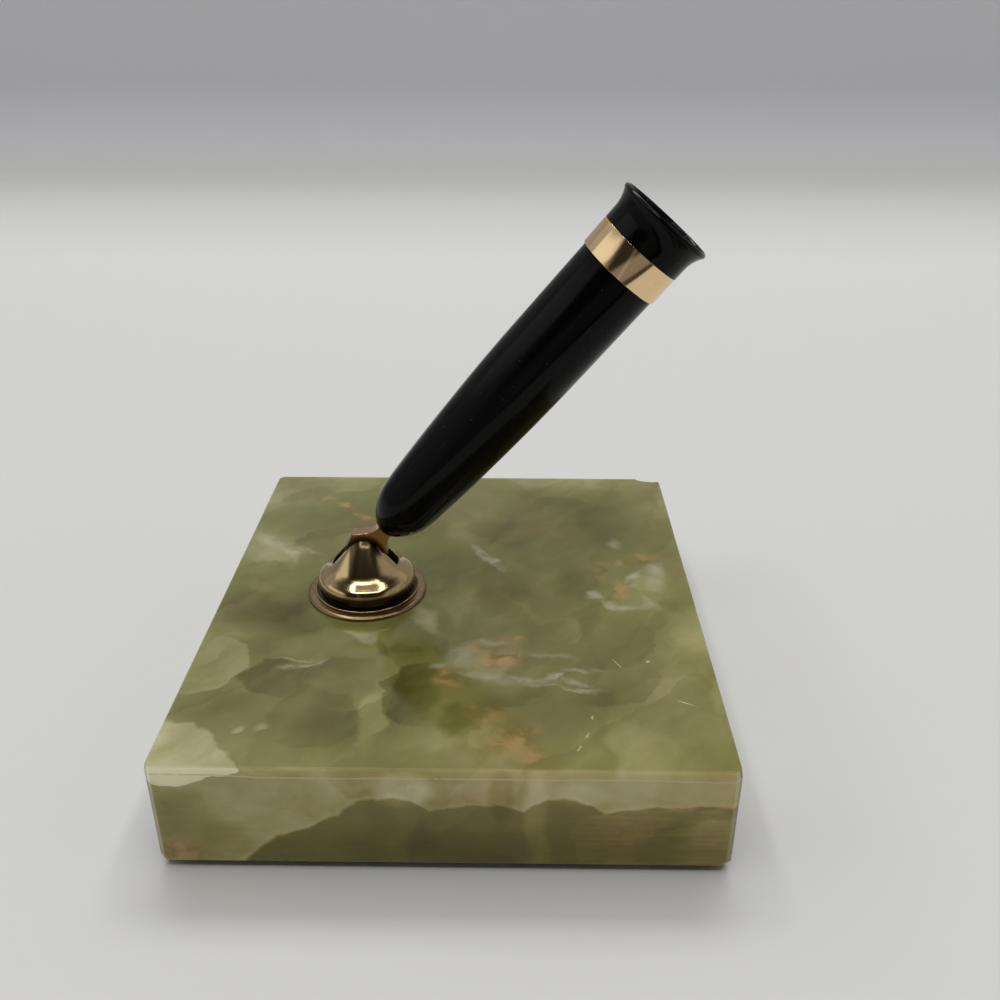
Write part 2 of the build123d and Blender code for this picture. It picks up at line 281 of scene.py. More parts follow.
def makeLight():
    for name in ("front", "back", "left", "right"):
        x0, x1, y0, y1 = strips[name]
        data = bpy.data.lights.new(name + "Strip", "AREA")
        data.shape = "RECTANGLE"
        data.size, data.size_y = x1 - x0, y1 - y0
        data.energy = math.pi * strips["glow"] * data.size * data.size_y
        lamp = bpy.data.objects.new(name + "Strip", data)
        lamp.location = ((x0 + x1) / 2, (y0 + y1) / 2, strips["height"])
        bpy.context.scene.collection.objects.link(lamp)
    world = bpy.data.worlds.new("room")
    bpy.context.scene.world = world
    web = Web(world)
    way = web.node("ShaderNodeTexCoord", {}, {}, "Generated")
    level = roomLevel(web, *[web.part(way, i) for i in range(3)])
    background = web.tree.nodes["Background"].inputs
    web.feed(background["Strength"], level)
    web.feed(background["Color"], web.shades(level, roomGlow))


def roomLevel(web, x, y, z):
    edges = roomEdges
    level = web.ease(y, *edges["frontToBack"], room["front"], room["back"])
    level = level + web.ease(z, *edges["horizonZ"]) * web.ease(y, *edges["horizonY"]) * room["frontHorizon"]
    aside = web.ease(abs(x), *edges["sides"])
    level = level * (1 - aside) + aside * room["sides"]
    level = level * web.ease(z, *edges["over"], room["over"], 1.0)  # the pale screens end at this height
    window = web.ease(x, *edges["windowX"]) * web.ease(abs(y + edges["windowShift"]), *edges["windowY"])
    window = window * web.ease(abs(z - edges["windowHeight"]), *edges["windowZ"])
    level = level + window * room["window"]
    slit = web.ease(abs(x + edges["slitShift"]), *edges["slitX"]) * web.ease(y, *edges["slitY"])
    level = level + slit * room["slit"]
    above = web.ease(z, *edges["ceiling"])
    level = level * (1 - above) + above * room["ceiling"]
    return level * web.ease(z, *edges["under"], room["under"], 1.0)  # dark below the floor's front edge


makeSweep()
makeLight()
print("stage and light made")


def makePiece(name, bm, body, finishes, stands, sharp=35):
    bmesh.ops.remove_doubles(bm, verts=bm.verts, dist=weld)
    bmesh.ops.recalc_face_normals(bm, faces=bm.faces)
    mesh = bpy.data.meshes.new(name)
    bm.to_mesh(mesh)
    bm.free()
    piece = bpy.data.objects.new(name, mesh)
    bpy.context.scene.collection.objects.link(piece)
    for finish in finishes:
        mesh.materials.append(finish)
    smoothShade(mesh, sharp)
    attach(piece, body)
    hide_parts(*stands)
    print("piece %s: %d faces" % (name, len(mesh.polygons)))
    return piece


def smoothShade(mesh, sharp):
    for face in mesh.polygons:
        face.use_smooth = True
    mesh.set_sharp_from_angle(angle=math.radians(sharp))


def carve(piece, cutter, sharp=35):
    # cuts one bmesh out of a piece, whose new faces take the piece's second finish
    mesh = bpy.data.meshes.new("cutter")
    cutter.to_mesh(mesh)
    cutter.free()
    for finish in piece.data.materials:
        mesh.materials.append(finish)
    for face in mesh.polygons:
        face.material_index = len(mesh.materials) - 1
    tool = bpy.data.objects.new("cutter", mesh)
    bpy.context.scene.collection.objects.link(tool)
    cut = piece.modifiers.new("cut", "BOOLEAN")
    cut.operation = "DIFFERENCE"
    cut.solver = "EXACT"
    cut.use_self = True
    cut.object = tool
    shaped = bpy.data.meshes.new_from_object(piece.evaluated_get(bpy.context.evaluated_depsgraph_get()))
    piece.modifiers.clear()
    shaped.name = piece.data.name
    piece.data = shaped
    bpy.data.objects.remove(tool)
    smoothShade(shaped, sharp)


def block(low, high):
    bm = bmesh.new()
    bmesh.ops.create_cube(bm, size=1.0)
    bmesh.ops.scale(bm, verts=bm.verts, vec=high - low)
    bmesh.ops.translate(bm, verts=bm.verts, vec=(high + low) / 2)
    return bm


def cutAt(bm, point, way, near=0.0):
    everything = bm.verts[:] + bm.edges[:] + bm.faces[:]
    bmesh.ops.bisect_plane(bm, geom=everything, dist=near, plane_co=point, plane_no=way)


def cutGrid(bm, low, high, cell):
    # even cuts across a block, so that its long edges can waver
    for axis in (0, 1):
        way = Vector([float(i == axis) for i in range(3)])
        count = round((high[axis] - low[axis]) / cell)
        for i in range(1, count):
            cutAt(bm, way * (low[axis] + (high[axis] - low[axis]) * i / count), way)


def roundEdges(bm, edges, width, steps):
    bmesh.ops.bevel(bm, geom=edges, offset=width * mm, offset_type="OFFSET", affect="EDGES", segments=steps,
                    profile=0.5, material=-1, clamp_overlap=True)


def edgesOver(bm, degrees):
    return [e for e in bm.edges if len(e.link_faces) == 2 and e.calc_face_angle() > math.radians(degrees)]


def rodInto(bm, start, direction, length, radius, segments=48):
    # a plain rod from a point along a direction, in millimetres but for the point
    turn = upright.rotation_difference(direction).to_matrix().to_4x4()
    place = Matrix.Translation(start + direction * length * mm / 2) @ turn
    bmesh.ops.create_cone(bm, cap_ends=True, segments=segments, radius1=radius * mm, radius2=radius * mm,
                          depth=length * mm, matrix=place)


def flow(points, first, last, steps):
    # a smooth line through points, with its directions at both ends
    points = [Vector(p) for p in points]
    spans = [(b - a).length for a, b in zip(points, points[1:])]
    ways = [Vector(first).normalized()]
    for i in range(1, len(points) - 1):
        ways.append((points[i + 1] - points[i - 1]) / (spans[i - 1] + spans[i]))
    ways.append(Vector(last).normalized())
    line = [points[0]]
    for i, span in enumerate(spans):
        handles = points[i] + ways[i] * span / 3, points[i + 1] - ways[i + 1] * span / 3
        line += interpolate_bezier(points[i], *handles, points[i + 1], steps + 1)[1:]
    return [tuple(p[:2]) for p in line]


def swoop(start, end, steps):
    # an arc from start, where it runs along the axis, to end
    across, along = end[0] - start[0], end[1] - start[1]
    radius = (across ** 2 + along ** 2) / (2 * across)
    sweepAngle = 2 * math.atan2(abs(across), abs(along))
    way = math.copysign(1, along)
    line = []
    for i in range(steps + 1):
        turn = sweepAngle * i / steps
        line.append((start[0] + radius * (1 - math.cos(turn)), start[1] + way * abs(radius) * math.sin(turn)))
    return line


def lathe(outline, base, axis, segments=128, closed=True):
    # turns an outline of radii and heights about an axis; a third number rounds that corner
    bm = bmesh.new()
    verts = [bm.verts.new(base + (crosswise * p[0] + axis * p[1]) * mm) for p in outline]
    for pair in zip(verts, verts[1:] + verts[:closed]):
        bm.edges.new(pair)
    for vert, point in zip(verts, outline):
        if len(point) == 3:
            bmesh.ops.bevel(bm, geom=[vert], offset=point[2] * mm, affect="VERTICES", segments=6,
                            profile=0.5, material=-1)
    bmesh.ops.spin(bm, geom=bm.verts[:] + bm.edges[:], cent=base, axis=axis, angle=2 * math.pi,
                   steps=segments, use_merge=True)
    bmesh.ops.remove_doubles(bm, verts=bm.verts, dist=weld)
    bmesh.ops.recalc_face_normals(bm, faces=bm.faces)
    return bm


# Slab, in millimetres
slab = {"cornerChamfer": 1.2, "topInset": 0.3, "topDrop": 1.9, "footRound": 0.9, "arris": 0.1, "cell": 8.0,
        "wave": 0.16, "waveLength": 14.0, "topWave": 0.6, "rimSlack": 0.1, "frontReach": 2.0,
        "riseFrom": -30.0, "riseTo": -42.0, "rise": 0.5, "wornHighlightLine": 1.95, "wornHighlightRise": 0.6,
        "recessRadius": 9.6, "recessDepth": 10.4, "boreRadius": 4.4}

# Onyx: soft banks of colour with torn edges, set where the slab shows them. Places and sizes are in
# millimetres from under the slab's middle. Tones add up and pick a shade; a tone over zero is paler.
topZ = deck / mm
frontY = slabLow.y / mm
evenBanks = {  # x, y, turn, half length, half width, tone, softness
    "creamTop": (-42.5, -52, 0, 10, 8.5, 0.06, 0.35),
    "creamFleck": (-36.1, -47.2, 30, 1.5, 1.0, 0.20, 0.35),
    "creamFleckNext": (-33, -46.9, 80, 1.4, 1.0, 0.17, 0.35),
    "brownLeft": (-43, -40, 20, 6.0, 3.6, -0.08, 0.5),
    "paleUnderFlange": (-24, -20.5, 8, 11.0, 5.4, 0.11, 0.3),
    "greyLeft": (-41, -8, -20, 12, 7.5, -0.17, 0.5),
    "rayLeft": (-39, -2, -27, 6.5, 1.6, 0.10, 0.8),
    "chipNearFlange": (-13.8, -21.8, -55, 2.8, 1.2, -0.13, 0.45),
    "chipBeside": (-9.5, -22, 10, 2.8, 1.6, -0.10, 0.45),
    "chipByInclusion": (-2.2, -21.5, 80, 3.0, 1.6, -0.11, 0.45),
    "leafStrip": (-13.3, -43, 84, 9.5, 2.3, 0.13, 0.35),
    "leafFoot": (-22, -49, 20, 7.0, 4.5, -0.06, 0.6),
    "plumePale": (-7.5, -10.5, -65, 5.4, 1.9, 0.17, 0.6),
    "plumeDusk": (-3.8, -10.5, -65, 5.0, 1.8, -0.10, 0.5),
    "paleMiddle": (1, -4, 80, 6.5, 2.6, 0.11, 0.7),
    "duskMiddle": (12, -4, 0, 8.5, 5.5, -0.09, 0.4),
    "arcMiddle": (12.8, -5.5, -52, 6.0, 1.0, 0.07, 0.8),
    "duskStrip": (27.8, -13, 80, 5.0, 1.9, -0.08, 0.5),
    "duskSpot": (41, -12, 65, 3.4, 1.7, -0.10, 0.5),
    "duskSpotNext": (45.5, -5.5, 0, 3.2, 2.8, -0.09, 0.5),
    "paleRightEdge": (51, -15, 90, 8.5, 7.0, 0.14, 0.5),
    "duskLow": (1.5, -43.5, 70, 4.5, 2.6, -0.13, 0.5),
    "paleLow": (-1.5, -49.5, 10, 6.0, 2.4, 0.08, 0.6),
    "duskRightBack": (35, 33, 70, 9.0, 7.0, -0.05, 0.5),
    "duskLeftBack": (11, 26, 20, 8.5, 6.5, -0.08, 0.45),
    "duskCrystal": (25.5, 3, 0, 4.6, 5.5, -0.07, 0.4),
    "paleCrystal": (18.5, 3.5, 90, 5.4, 3.4, 0.05, 0.5),
    # painted reflection: two pale banks along the back, where the polished top reflects the backdrop
    "paintedReflectionBack": (-38, 51, 0, 22, 12, 0.08, 0.6),
    "paintedReflectionRightBack": (28, 55, 0, 24, 5, 0.09, 0.6),
    "whiteLeft": (-46, 19, -40, 10, 6.0, 0.20, 0.7),
    "paleFrontRight": (22, -34, 0, 34, 22, 0.07, 0.6),
    "milkPlume": (-3.6, -12, -70, 7.5, 3.2, 0.13, 0.6),
    "milkBack": (-0.5, 28, -75, 8.0, 2.2, 0.10, 0.8),
    "milkRay": (8, 16, -58, 8.0, 3.0, 0.08, 0.8),
    "inclusionGlow": (7.5, -23.5, 60, 7.0, 5.0, 0.20, 0.5),
    "branchGlow": (18, -31.5, -8, 11, 3.6, 0.09, 0.7),
    "crystalPale": (37.5, 2, 40, 8.5, 6.5, 0.09, 0.6),
}
edgedBanks = {  # the same; each fades away from the torn edge that its turn points at
    "creamLeft": (-47, -28, -12, 7.4, 9.0, 0.21, 0.03),
    "wedgeLeft": (-30.5, -32.5, 160, 9.5, 5.4, -0.19, 0.05),
    "petalLeft": (-27, -43, -8, 12.0, 9.0, -0.09, 0.05),
    "leafPale": (-17, -33, -25, 6.0, 9.5, 0.12, 0.05),
    "leafShade": (-21.5, -29.5, 107, 4.6, 7.2, -0.08, 0.08),
    "duskEdge": (-5.2, -36.5, 172, 8.0, 10, -0.24, 0.04),
    "roundPatch": (22.3, -15, 10, 4.3, 5.6, 0.11, 0.06),
    "roundDusk": (31.5, -19, -30, 8.6, 9.5, -0.10, 0.05),
    "wedgeRight": (32.5, -34.5, -57, 4.4, 9.0, -0.12, 0.05),
    "paleFront": (46, -49, 135, 19, 18, 0.09, 0.05),
    "duskBack": (23.5, 40, 100, 6.0, 9.0, -0.09, 0.1),
    "triangleBack": (-33, 21.5, 180, 6.2, 6.0, -0.09, 0.06),
    "triangleLeft": (-46, 3, 120, 7.5, 9.0, -0.08, 0.07),
}
hills = {  # dark layers in the front face: x, height, half width, half height
    "left": (-9.5, -3, 27.5, 15.4),
    "shelf": (-17, 4, 9, 9.0),
    "peak": (-9.2, 8, 11, 9.6),
    "middle": (4, 5, 19, 10.6),
    "crest": (20.7, 6, 8.6, 11.9),
    "right": (42, -40, 60, 56.3),
}
streaks = {  # white lines and crystals: x, y, turn, half length, half width, share
    "rayBack": (5.6, 14.4, -58, 7.4, 1.5, 0.55),
    "rayLeftLong": (-45.8, 21.5, -45, 7.6, 1.8, 0.42),
    "rayLeftEnd": (-39.3, 14.5, -55, 4.6, 1.4, 0.40),
    "rayLeftFork": (-34.8, 16.3, -28, 5.4, 1.0, 0.25),
    "spotBack": (35.3, 21.2, 85, 2.8, 1.8, 0.34),
    "branchA": (6.5, -30.6, -8, 6.2, 1.0, 0.48),
    "branchB": (14.0, -32.0, -4, 6.4, 1.3, 0.58),
    "branchC": (20.0, -30.6, 40, 2.4, 1.0, 0.72),
    "branchD": (24.2, -32.8, -30, 4.4, 0.8, 0.66),
    "branchE": (16.5, -33.8, -6, 6.2, 0.8, 0.36),
    "branchF": (24.5, -35.4, -12, 5.6, 1.0, 0.50),
    "branchH": (25.3, -28.6, -8, 5.4, 0.9, 0.45),
    "branchI": (18.6, -24.3, -3, 6.4, 1.2, 0.28),
    "leafA": (-29.0, -27.8, 10, 5.2, 0.8, 0.50),
    "leafB": (-30.0, -25.9, 3, 5.0, 0.6, 0.32),
    "leafC": (-25.2, -26.6, 25, 3.2, 0.6, 0.40),
    "inclusionSide": (1.6, -24.8, 80, 5.0, 3.6, 0.34),
    "inclusionFoot": (-1.6, -27.6, 20, 2.6, 1.6, 0.42),
    "inclusionTop": (6.6, -20.2, -12, 4.4, 1.5, 0.40),
    "crystalA": (43.8, 9.2, 75, 3.4, 2.6, 0.50),
    "crystalB": (38.2, 5.0, 62, 4.6, 1.3, 0.60),
    "crystalC": (38.2, 2.4, 50, 2.6, 1.4, 0.40),
    "crystalD": (42.6, 3.0, 100, 3.6, 2.2, 0.34),
    "crystalE": (29.0, -1.5, -10, 2.6, 1.9, 0.62),
    "crystalF": (32.0, -5.5, -45, 3.8, 1.5, 0.62),
    "crystalG": (39.5, -5.0, 70, 3.6, 2.0, 0.34),
    "crystalH": (35.5, -6.8, -5, 4.0, 1.2, 0.50),
}
scratches = {  # thin marks of use: x, y, turn, half length, half width
    "long": (43.6, -38.5, -28, 2.2, 0.16),
    "low": (25.0, -47.8, 65, 0.9, 0.22),
    "foot": (23.4, -51.2, 60, 1.0, 0.24),
    "dot": (26.2, -42.9, 80, 0.6, 0.3),
    "spot": (38.1, -25.8, 20, 0.7, 0.45),
    "hair": (32.2, -26.6, 118, 2.4, 0.11),
}
stains = {  # iron stains: x, y, turn, half length, half width, share
    "inclusion": (10.0, -25.0, 80, 4.6, 4.4, 0.85),
    "inclusionTop": (10.6, -19.0, 10, 3.0, 1.6, 0.55),
    "inclusionPink": (5.6, -21.6, 60, 4.4, 3.2, 0.40),
    "brownLeft": (-0.4, -31.2, 60, 3.6, 2.6, 0.62),
    "brownLow": (1.0, -35.0, 80, 5.0, 2.0, 0.40),
    "rustFront": (12.0, -48.7, 40, 6.0, 5.2, 0.50),
    "rustUpper": (7.5, -42.0, 60, 5.2, 4.2, 0.36),
    "rustEdge": (15.6, -53.0, 80, 3.8, 2.0, 0.40),
    "veinA": (-37.0, 44.4, -20, 5.0, 1.9, 0.50),
    "veinB": (-30.6, 40.3, -38, 6.4, 1.5, 0.55),
    "veinC": (-25.6, 35.0, -60, 4.6, 1.4, 0.50),
    "crystalGlow": (40.0, 13.5, 10, 6.0, 3.2, 0.42),
    "crystalBrown": (31.5, 8.5, 75, 6.0, 3.2, 0.26),
    "crystalRust": (34.8, 0.4, 80, 5.0, 2.8, 0.50),
    "patchRust": (23.8, -17.5, 70, 3.0, 2.0, 0.30),
}
frontBanks = {  # banks in the front face: x, height, half width, half height, tone
    "column": (16.2, 12, 2.2, 13, 0.13),
    "cleft": (10.5, 18, 2.2, 7, -0.12),
    "leftEnd": (-49, 10, 5, 9, -0.05),
    "leftFoot": (-39, 5, 6, 6, -0.07),
    "spot": (-7.0, 19.0, 6.0, 3.4, 0.20),
    "duskTop": (-28, 18.5, 7, 4, -0.08),
    "rise": (23, 18.5, 5, 2.2, 0.10),
    # painted shade: the steep front chamfer is made a little darker
    "chamfer": (0, 22.2, 60, 1.4, -0.02),
    "core": (4, 4, 13, 6, -0.06),
    "rightEnd": (48, 5, 7, 10, 0.22),
    "leftFace": (-44, 11, 10, 8, -0.06),
}
frontStains = {  # iron in the front face: x, height, half width, half height, share
    "foot": (-47, 4.2, 6.5, 3.6, 0.85),
    "edge": (2.5, 17.0, 9.5, 2.4, 0.36),
    "end": (43.5, 15.9, 8.5, 0.8, 0.75),
    "endLow": (46.0, 9.0, 4.0, 4.0, 0.16),
    "layers": (33.0, 10.5, 8.5, 5.5, 0.20),
}
cream = {  # the pale corner, on top and in the front face: x, half width, half height
    "at": (-50, -61.5, 0), "size": (16.0, 16.5, 5.0), "edge": (1.03, 0.97), "tone": 0.22,
    "front": ((-50, 11.4, 4.6), (-44, 9.6, 2.0)), "frontTone": 0.33,
}
onyx = {
    "ground": 0.475, "broad": 0.42, "stroke": 0.38, "layer": 0.07, "edge": 0.11,  # tones
    "grain": -38, "roughness": 0.09,
    # front: painted light, a paler tone over the whole front face that makes up for its shade
    "front": 0.26, "frontTop": 0.04, "hill": -0.24, "hillFoot": -0.16, "hillRim": 0.06,
    "face": (1.2, 0.5), "brink": (0.6, 0.45),  # how far behind the front each ends and is full
    "frontTint": (1.10, 1.01, 0.72), "leftTint": (0.98, 1.03, 1.12, 1), "rightTint": (1.02, 1.01, 0.86, 1),
    "tintFrom": (-45, 20, 0), "tintTurn": -38, "tintLength": 114,
    "green": [(0.0, (40, 37, 12)), (0.25, (76, 73, 30)), (0.45, (102, 100, 52)), (0.62, (122, 119, 70)),
              (0.8, (152, 147, 102)), (1.0, (192, 186, 152)), (1.25, (240, 232, 196))],
    "beige": [(0.0, (46, 38, 18)), (0.25, (82, 73, 36)), (0.45, (109, 101, 58)), (0.62, (129, 121, 78)),
              (0.8, (158, 149, 110)), (1.0, (198, 190, 160)), (1.25, (244, 234, 200))],
    "white": (180, 178, 154), "rustPale": (184, 146, 98), "rustDeep": (124, 100, 52),
    # the pale colour along the chamfer's lower edge is wear and a painted highlight
    "wornHighlightPale": (204, 196, 158), "scratchPale": (206, 200, 166), "scratchShare": 0.8,
}


def onyxFinish():
    web = newWeb("polishedOnyx")
    spot = web.spot()
    bent = web.warp(spot, scale=0.06, reach=5.0)
    drift = fromDeck(web, web.warp(bent, scale=0.24, reach=4.4, detail=4.0))
    fold = fromDeck(web, web.warp(bent, scale=0.5, reach=1.2, detail=3.0))  # less torn, for the front
    tone = topTone(web, drift)
    level = fromDeck(web, spot)
    along, depth, under = [web.part(level, i) for i in range(3)]
    face = nearFront(web, depth, "face") * web.ease(under, -0.02, -0.14)
    corner = web.ball(drift, cream["at"], cream["size"], *cream["edge"]) * cream["tone"]
    tone = tone + corner * (1.0 - face)  # the corner goes on in the front face
    tone = tone + frontTone(web, fold, level) * face + edgeGlow(web, level) * onyx["edge"]
    stone = stoneColour(web, spot, level, face, tone)
    ragged = web.clouds(drift, scale=0.30, detail=4.0, rough=0.6)
    white = largest(web, drift, streaks) * web.ease(ragged, 0.18, 0.54)
    ore = web.clouds(drift, scale=0.20, detail=3.0, rough=0.55)
    rust = largest(web, drift, stains).calc("MAXIMUM", frontRust(web, fold)) * web.ease(ore, 0.26, 0.50)
    iron = web.blend(web.ease(ore, 0.42, 0.62), tint(*onyx["rustDeep"]), tint(*onyx["rustPale"]))
    colour = web.blend(rust, stone, iron)
    colour = web.blend(white, colour, tint(*onyx["white"]))
    mark = largest(web, level, {key: (*row, onyx["scratchShare"]) for key, row in scratches.items()})
    # a pale line along the chamfer's lower edge: wear, and a painted highlight
    worn = wornEdgeHighlight(web, spot, level, along)
    brink = nearFront(web, depth, "brink") * web.ease(under, -0.75, -0.45)
    colour = web.blend(worn * 0.7, colour, tint(*onyx["wornHighlightPale"]))
    broken = web.ease(web.clouds(spot, scale=1.4), 0.38, 0.5)
    colour = web.blend(mark * broken, colour, tint(*onyx["scratchPale"]))
    smear = web.clouds(spot, scale=0.06, detail=3.0, rough=0.6)
    fine = web.clouds(spot, scale=1.6, detail=2.0, rough=0.5)
    rough = onyx["roughness"] + web.ease(smear, 0.45, 0.75) * 0.10 + white * 0.06 + fine * 0.03
    rough = rough + mark * 0.2 + brink * 0.4
    return web.surface(Base_Color=colour, Roughness=rough, IOR=1.5, Specular_IOR_Level=0.45,
                       Subsurface_Weight=0.35, Subsurface_Radius=(0.006, 0.006, 0.004), Subsurface_Scale=1.0)


def fromDeck(web, vector):
    # the same point, with its height measured from the deck
    return web.local(vector, at=(0, 0, topZ))


def nearFront(web, depth, key):
    return web.ease(depth, *[frontY + reach for reach in onyx[key]])


def topTone(web, drift):
    tone = onyxClouds(web, drift) + onyx["ground"]
    for banks, edged in ((evenBanks, False), (edgedBanks, True)):
        for x, y, turn, length, width, shade, soft in banks.values():
            tone = tone + patchShare(web, drift, (x, y, 0), turn, (length, width), soft, edged) * shade
    return tone


def stoneColour(web, spot, level, face, tone):
    # the tone picks a shade, green or beige by turns, that is warmer to the right and in the front face
    hue = web.ease(web.clouds(spot, scale=0.045, detail=3.0, rough=0.5), 0.42, 0.72)
    palest = onyx["green"][-1][0]
    shades = []
    for key in ("green", "beige"):
        stops = [(at / palest, tint(*colour)) for at, colour in onyx[key]]
        shades.append(web.shades(tone * (1 / palest), stops))
    stone = web.blend(hue, *shades)
    turn = (0, 0, math.radians(onyx["tintTurn"]))
    slope = web.fall("LINEAR", level, onyx["tintFrom"], turn, (onyx["tintLength"], 1, 1))
    stone = web.vec("MULTIPLY", stone, web.blend(slope, onyx["leftTint"], onyx["rightTint"]))
    warm = face * web.ease(tone, 1.15, 0.75)  # the palest stone is less warm
    return web.blend(warm, stone, web.vec("MULTIPLY", stone, onyx["frontTint"]))


def wornEdgeHighlight(web, spot, level, along):
    # the pale line along the chamfer's lower edge, which rises at the left: wear of that edge, and a painted
    # highlight along it
    line = web.part(web.warp(level, scale=0.06, reach=0.8), 2) + slab["wornHighlightLine"]
    line = line - web.ease(along, slab["riseFrom"], slab["riseTo"]) * slab["wornHighlightRise"]
    edge = web.ease(abs(line), 0.22, 0.07)
    patchy = web.clouds(spot, scale=0.3, detail=3.0, rough=0.7)
    return edge * web.ease(patchy, 0.30, 0.46)


def onyxClouds(web, drift):
    # broad clouds, strokes along the stone's grain, and layers that rise slowly and end at a torn edge
    grain = web.local(drift, turn=(0, 0, math.radians(onyx["grain"])), size=(1.0, 2.4, 1.2))
    broad = web.clouds(drift, scale=0.04, detail=3.0, rough=0.5)
    stroke = web.clouds(grain, scale=0.11, detail=5.0, rough=0.6)
    layer = (web.clouds(grain, scale=0.05, detail=2.0, rough=0.4) * 4.0).calc("FRACT")
    layer = layer * web.ease(layer, 1.0, 0.9)
    return (broad - 0.5) * onyx["broad"] + (stroke - 0.5) * onyx["stroke"] + (layer - 0.4) * onyx["layer"]


def frontTone(web, fold, level):
    # the front face is cut across dark layers that rise like hills, under a paler band
    height = web.part(level, 2)
    hill = hillShare(web, fold, grown=0.0, soft=0.35)
    rim = hillShare(web, fold, grown=0.9, soft=0.7) - hill
    tone = hill * (web.ease(height, -8.0, -18.0) * onyx["hillFoot"] + onyx["hill"]) + rim * onyx["hillRim"]
    for x, z, width, rise, shade in frontBanks.values():
        tone = tone + web.ball(fold, (x, frontY, z - topZ), (width, 4, rise), 1.3, 0.5) * shade
    lines = web.clouds(web.local(level, size=(9.0, 4.0, 0.7)), scale=1.0, detail=3.0, rough=0.6)
    along = web.part(level, 0)
    lines = (lines - 0.5) * web.ease(along, 20.0, 30.0, 0.10, 0.30)  # stronger at the right
    tone = tone + lines * web.ease(height, -7.0, -10.0)
    low, high = [web.ball(fold, (x, frontY, 0), (width, 8, drop), *cream["edge"])
                 for x, width, drop in cream["front"]]
    tone = tone + low.calc("MAXIMUM", high) * cream["frontTone"]
    # painted light: the front tone makes the whole front face paler, to make up for the shade it gets
    return tone + web.ease(height, -9.0, -3.0) * onyx["frontTop"] + onyx["front"]


def edgeGlow(web, level):
    # the stone lets light through, so it is paler towards its sides, front and back
    aside, along = [abs(web.part(level, i)) for i in range(2)]
    return web.ease(aside, 30.0, 50.0).calc("MAXIMUM", web.ease(along, 40.0, 57.0))


def patchShare(web, drift, at, turn, size, soft, edged):
    deep = min(7.0, 1.2 * max(size))  # a bank goes down about as far as it is long
    turn = (0, 0, math.radians(turn))
    share = web.ball(drift, at, (*size, deep), 1 + soft, 1 - soft, turn)
    if edged:
        start = Vector(at) - Euler(turn).to_matrix() @ Vector((0.8 * size[0], 0, 0))
        share = share * web.fall("EASING", drift, start, turn, (1.75 * size[0], 1, 1))
    return share


def hillShare(web, fold, grown, soft):
    total = 0.0
    for x, height, width, rise in hills.values():
        edges = [1 + (grown + way * soft) / rise for way in (1, -1)]
        share = web.ball(fold, (x, frontY, height - topZ), (width, 12, rise), *edges)
        total = share.calc("MAXIMUM", total)
    return total


def frontRust(web, fold):
    total = 0.0
    for x, height, width, rise, share in frontStains.values():
        stain = web.ball(fold, (x, frontY, height - topZ), (width, 4, rise), 1.2, 0.2)
        total = (stain * share).calc("MAXIMUM", total)
    return total


def largest(web, vector, patches):
    # the strongest of several soft patches at a point
    total = 0.0
    for x, y, turn, length, width, share in patches.values():
        size = (length, width, 1.5 * width + 0.5)
        patch = web.ball(vector, (x, y, 0), size, 1.25, 0.2, (0, 0, math.radians(turn)))
        total = (patch * share).calc("MAXIMUM", total)
    return total


def brokenOnyxFinish():
    web = newWeb("brokenOnyx")
    spot = web.spot()
    grain = web.clouds(spot, scale=1.4, detail=4.0, rough=0.65)
    colour = web.shades(grain, [(0.3, tint(104, 98, 62)), (0.7, tint(150, 143, 108))])
    return web.surface(Base_Color=colour, Roughness=0.5 + grain * 0.2, Normal=web.bump(grain, depth=0.0001))


# Slab: hand-ground chamfers, softened edges, and the small chips that the photograph shows
chips = [  # which corner is nearest, and in millimetres how far in from it, depth under the deck, half sizes
    {"side": (1, 1), "in": (2.4, -0.4), "drop": -0.5, "size": (4.2, 2.6, 1.9)},
    {"side": (1, -1), "in": (0.4, 0.3), "drop": 21.2, "size": (1.3, 1.0, 0.9)},
    {"side": (-1, 1), "in": (0.1, 31.0), "drop": 1.3, "size": (0.5, 1.2, 0.6)},
    {"side": (1, 1), "in": (0.0, 48.0), "drop": 1.4, "size": (0.5, 1.0, 0.5)},
    {"side": (-1, 1), "in": (20.0, 0.0), "drop": 1.2, "size": (1.3, 0.5, 0.5)},
]
chipShape = {"roughness": 0.16, "grain": 1.7, "detail": 3}


def makeSlab():
    bm = block(slabLow, slabHigh)
    cutGrid(bm, slabLow, slabHigh, slab["cell"] * mm)
    uprightEdges = [e for e in edgesOver(bm, 60) if abs((e.verts[0].co - e.verts[1].co).z) > 10 * mm]
    roundEdges(bm, uprightEdges, slab["cornerChamfer"], 1)
    top = [e for e in edgesOver(bm, 60) if min(v.co.z for v in e.verts) > deck - touch]
    roundEdges(bm, top, slab["topInset"], 1)
    foot = [e for e in edgesOver(bm, 60) if max(v.co.z for v in e.verts) < slabLow.z + touch]
    roundEdges(bm, foot, slab["footRound"], 4)
    waverEdges(bm)
    roundEdges(bm, edgesOver(bm, 30), slab["arris"], 2)
    piece = makePiece("stoneSlab", bm, "base", [onyxFinish(), brokenOnyxFinish()], ["stone_slab"])
    carve(piece, slabCutters())
    weigh = piece.modifiers.new("flatFaces", "WEIGHTED_NORMAL")
    weigh.keep_sharp = True


def waverEdges(bm):
    # the top chamfer is steep, and ground by hand, so both its edges waver
    low = deck - slab["topInset"] * mm
    for vert in bm.verts:
        sway = noise.noise(vert.co / (slab["waveLength"] * mm)) * slab["wave"] * mm
        if abs(vert.co.z - low) < touch:
            vert.co.z = deck - slab["topDrop"] * mm + sway + frontRise(vert.co)
        elif abs(vert.co.z - deck) < touch and nearRim(vert.co):
            vert.co.xy = vert.co.xy * (1 + slab["topWave"] * sway / vert.co.xy.length)


